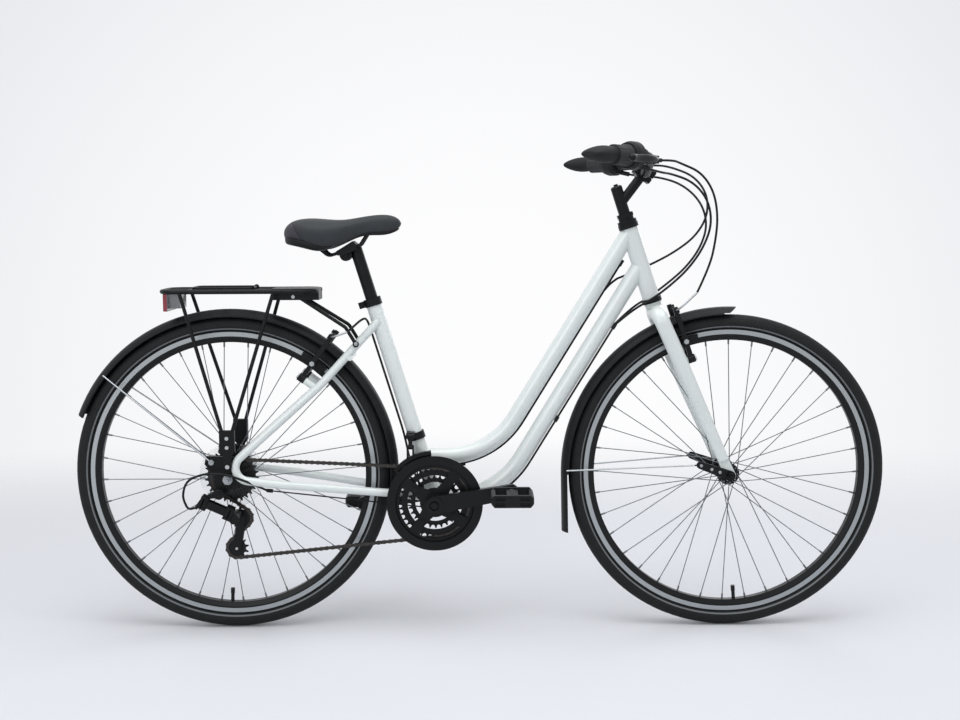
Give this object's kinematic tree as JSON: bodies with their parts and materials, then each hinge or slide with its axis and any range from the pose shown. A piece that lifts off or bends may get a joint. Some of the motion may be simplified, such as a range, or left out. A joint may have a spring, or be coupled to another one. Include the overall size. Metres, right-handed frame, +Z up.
{
  "type": "hybrid bike",
  "caption": "Step-through hybrid bike with twin curved main tubes, upright swept bar, rim brakes, derailleur gears, mudguards and rear rack; steers, rolls, shifts and brakes.",
  "frame": {"origin": "on the ground, midway between the wheel axles, on the bike's mid-plane", "axes": "+X forward, +Y to the rider's left, +Z up"},
  "size_m": [1.7899, 0.5748, 1.0628],
  "materials": {
    "white_alloy": "gloss",
    "black_alloy": "satin",
    "black_steel": "satin",
    "clear_plastic": "gloss",
    "bare_steel": "satin",
    "spoke_steel": "satin",
    "rim_alloy": "satin",
    "drive_steel": "satin",
    "tyre_rubber": "matt",
    "black_plastic": "satin",
    "grip_rubber": "matt",
    "cable_sheath": "satin",
    "saddle_cover": "satin",
    "red_reflector": "gloss"
  },
  "bodies": {
    "frame": {"head_tube": "white_alloy", "main_tubes": "white_alloy", "seat_tube": "white_alloy", "bottom_bracket": "white_alloy", "rear_stays": "white_alloy", "rear_dropouts": "bare_steel", "headset_cups": "black_steel", "seat_clamp": "black_steel", "rear_rack": "black_alloy", "rear_reflector": "red_reflector", "rear_mudguard": "black_plastic", "rear_mudguard_stays": "bare_steel", "frame_cables": "cable_sheath", "rear_axle": "bare_steel", "front_derailleur_clamp": "black_steel", "derailleur_mount": "black_steel", "chain": "drive_steel"},
    "steering": {"fork": "white_alloy", "headset_locknut": "black_steel", "stem": "black_alloy", "handlebar": "black_alloy", "grips": "grip_rubber", "control_clamps": "black_plastic", "front_mudguard": "black_plastic", "front_axle": "black_steel", "front_brake_cable": "cable_sheath", "steering_cables": "cable_sheath"},
    "front_wheel": {"front_tyre": "tyre_rubber", "front_rim": "rim_alloy", "front_spokes": "spoke_steel", "front_hub": "black_alloy"},
    "rear_wheel": {"rear_tyre": "tyre_rubber", "rear_rim": "rim_alloy", "rear_spokes": "spoke_steel", "rear_hub": "black_alloy", "spoke_protector": "clear_plastic"},
    "freewheel": {"freewheel": "drive_steel"},
    "crankset": {"crank_arms": "black_alloy", "chainrings": "drive_steel"},
    "right_pedal": {"right_pedal": "black_plastic"},
    "left_pedal": {"left_pedal": "black_plastic"},
    "right_twist": {"right_twist_shifter": "grip_rubber"},
    "left_twist": {"left_twist_shifter": "grip_rubber"},
    "right_lever": {"right_brake_lever": "black_alloy"},
    "left_lever": {"left_brake_lever": "black_alloy"},
    "front_arm_right": {"front_brake_arm_right": "black_alloy"},
    "front_arm_left": {"front_brake_arm_left": "black_alloy"},
    "rear_arm_right": {"rear_brake_arm_right": "black_alloy"},
    "rear_arm_left": {"rear_brake_arm_left": "black_alloy"},
    "mech_outer_link": {"derailleur_outer_link": "black_steel"},
    "mech_inner_link": {"derailleur_inner_link": "black_steel"},
    "mech_knuckle": {"derailleur_knuckle": "black_steel"},
    "mech_cage": {"derailleur_cage": "black_steel"},
    "guide_pulley": {"guide_pulley": "black_plastic"},
    "tension_pulley": {"tension_pulley": "black_plastic"},
    "front_mech_link": {"front_derailleur_link": "black_steel"},
    "front_mech_cage": {"front_derailleur_cage": "black_steel"},
    "seat": {"seatpost": "black_alloy", "saddle": "saddle_cover"},
    "rack_clip": {"rack_spring_clip": "black_steel"}
  },
  "joints": [
    {"name": "steering", "type": "hinge", "parent": "frame", "child": "steering", "pos_m": [0.50606, 0, 0.33602], "axis": [-0.309, 0, 0.9511], "range_deg": [-50, 50], "deforming": ["steering_cables"]},
    {"name": "front_wheel_spin", "type": "hinge", "parent": "steering", "child": "front_wheel", "pos_m": [0.546, 0, 0.349], "axis": [0, 1, 0], "continuous": true},
    {"name": "rear_wheel_spin", "type": "hinge", "parent": "frame", "child": "rear_wheel", "pos_m": [-0.546, 0, 0.349], "axis": [0, 1, 0], "continuous": true},
    {"name": "crank_spin", "type": "hinge", "parent": "frame", "child": "crankset", "pos_m": [-0.09874, 0, 0.291], "axis": [0, 1, 0], "continuous": true, "deforming": ["chain"]},
    {"name": "freewheel_spin", "type": "hinge", "parent": "frame", "child": "freewheel", "pos_m": [-0.546, 0, 0.349], "axis": [0, 1, 0], "continuous": true},
    {"name": "right_pedal_spin", "type": "hinge", "parent": "crankset", "child": "right_pedal", "pos_m": [0.06867, -0.132, 0.32052], "axis": [0, 1, 0], "continuous": true},
    {"name": "left_pedal_spin", "type": "hinge", "parent": "crankset", "child": "left_pedal", "pos_m": [-0.26616, 0.132, 0.26148], "axis": [0, 1, 0], "continuous": true},
    {"name": "right_lever_pull", "type": "hinge", "parent": "steering", "child": "right_lever", "pos_m": [0.3569, -0.17326, 1.02584], "axis": [0, 0, -1], "range_deg": [0, 12], "stiffness_Nm_per_rad": 0.6, "deforming": ["front_brake_cable"]},
    {"name": "left_lever_pull", "type": "hinge", "parent": "steering", "child": "left_lever", "pos_m": [0.3569, 0.17326, 1.02584], "axis": [0, 0, 1], "range_deg": [0, 12], "stiffness_Nm_per_rad": 0.6, "deforming": ["frame_cables"]},
    {"name": "front_arm_right_swing", "type": "hinge", "parent": "steering", "child": "front_arm_right", "pos_m": [0.45988, -0.043, 0.6049], "axis": [0.9478, 0, 0.319], "range_deg": [-2, 0.2]},
    {"name": "front_arm_left_swing", "type": "hinge", "parent": "steering", "child": "front_arm_left", "pos_m": [0.45988, 0.043, 0.6049], "axis": [0.9478, 0, 0.319], "range_deg": [-0.2, 2]},
    {"name": "rear_arm_right_swing", "type": "hinge", "parent": "frame", "child": "rear_arm_right", "pos_m": [-0.38578, -0.043, 0.56632], "axis": [-0.8049, 0, 0.5934], "range_deg": [-0.2, 2]},
    {"name": "rear_arm_left_swing", "type": "hinge", "parent": "frame", "child": "rear_arm_left", "pos_m": [-0.38578, 0.043, 0.56632], "axis": [-0.8049, 0, 0.5934], "range_deg": [-2, 0.2]},
    {"name": "right_twist_turn", "type": "hinge", "parent": "steering", "child": "right_twist", "pos_m": [0.28651, -0.20427, 1.03384], "axis": [-0.6428, -0.766, 0], "range_deg": [-75, 75], "deforming": ["chain"]},
    {"name": "left_twist_turn", "type": "hinge", "parent": "steering", "child": "left_twist", "pos_m": [0.28651, 0.20427, 1.03384], "axis": [-0.6428, 0.766, 0], "range_deg": [-75, 75], "deforming": ["chain"]},
    {"name": "mech_outer_swing", "type": "hinge", "parent": "frame", "child": "mech_outer_link", "pos_m": [-0.592, -0.098, 0.302], "axis": [0.4067, 0, 0.9135], "range_deg": [-16, 16]},
    {"name": "mech_inner_swing", "type": "hinge", "parent": "frame", "child": "mech_inner_link", "pos_m": [-0.592, -0.084, 0.302], "axis": [0.4067, 0, 0.9135], "range_deg": [-16, 16]},
    {"name": "mech_knuckle_swing", "type": "hinge", "parent": "mech_outer_link", "child": "mech_knuckle", "pos_m": [-0.5445, -0.098, 0.28085], "axis": [0.4067, 0, 0.9135], "range_deg": [-16, 16]},
    {"name": "mech_cage_swing", "type": "hinge", "parent": "mech_knuckle", "child": "mech_cage", "pos_m": [-0.53, -0.06, 0.267], "axis": [0, 1, 0], "range_deg": [-20, 20], "stiffness_Nm_per_rad": 0.5, "deforming": ["chain"]},
    {"name": "guide_pulley_spin", "type": "hinge", "parent": "mech_cage", "child": "guide_pulley", "pos_m": [-0.52295, -0.0465, 0.25815], "axis": [0, 1, 0], "continuous": true},
    {"name": "tension_pulley_spin", "type": "hinge", "parent": "mech_cage", "child": "tension_pulley", "pos_m": [-0.5346, -0.0465, 0.19103], "axis": [0, 1, 0], "continuous": true},
    {"name": "front_mech_swing", "type": "hinge", "parent": "frame", "child": "front_mech_link", "pos_m": [-0.15172, -0.0465, 0.43758], "axis": [1, 0, 0], "range_deg": [-17, 17]},
    {"name": "front_mech_cage_swing", "type": "hinge", "parent": "front_mech_link", "child": "front_mech_cage", "pos_m": [-0.15172, -0.0465, 0.41358], "axis": [1, 0, 0], "range_deg": [-17, 17]},
    {"name": "seatpost_slide", "type": "slide", "parent": "frame", "child": "seat", "axis": [-0.2924, 0, 0.9563], "range_m": [-0.06, 0.06]},
    {"name": "rack_clip_lift", "type": "hinge", "parent": "frame", "child": "rack_clip", "pos_m": [-0.491, 0, 0.76155], "axis": [0, 1, 0], "range_deg": [0, 60], "stiffness_Nm_per_rad": 0.8}
  ],
  "couplings": [
    {"joint": "freewheel_spin", "follows": "crank_spin", "ratio": 1.9},
    {"joint": "guide_pulley_spin", "follows": "crank_spin", "ratio": -3.4545},
    {"joint": "tension_pulley_spin", "follows": "crank_spin", "ratio": 3.4545},
    {"joint": "front_arm_right_swing", "follows": "right_lever_pull", "ratio": -0.143},
    {"joint": "front_arm_left_swing", "follows": "right_lever_pull", "ratio": 0.143},
    {"joint": "rear_arm_right_swing", "follows": "left_lever_pull", "ratio": 0.143},
    {"joint": "rear_arm_left_swing", "follows": "left_lever_pull", "ratio": -0.143},
    {"joint": "mech_outer_swing", "follows": "right_twist_turn", "ratio": 0.21},
    {"joint": "mech_inner_swing", "follows": "right_twist_turn", "ratio": 0.21},
    {"joint": "mech_knuckle_swing", "follows": "right_twist_turn", "ratio": -0.21},
    {"joint": "front_mech_swing", "follows": "left_twist_turn", "ratio": 0.22},
    {"joint": "front_mech_cage_swing", "follows": "left_twist_turn", "ratio": -0.22}
  ]
}
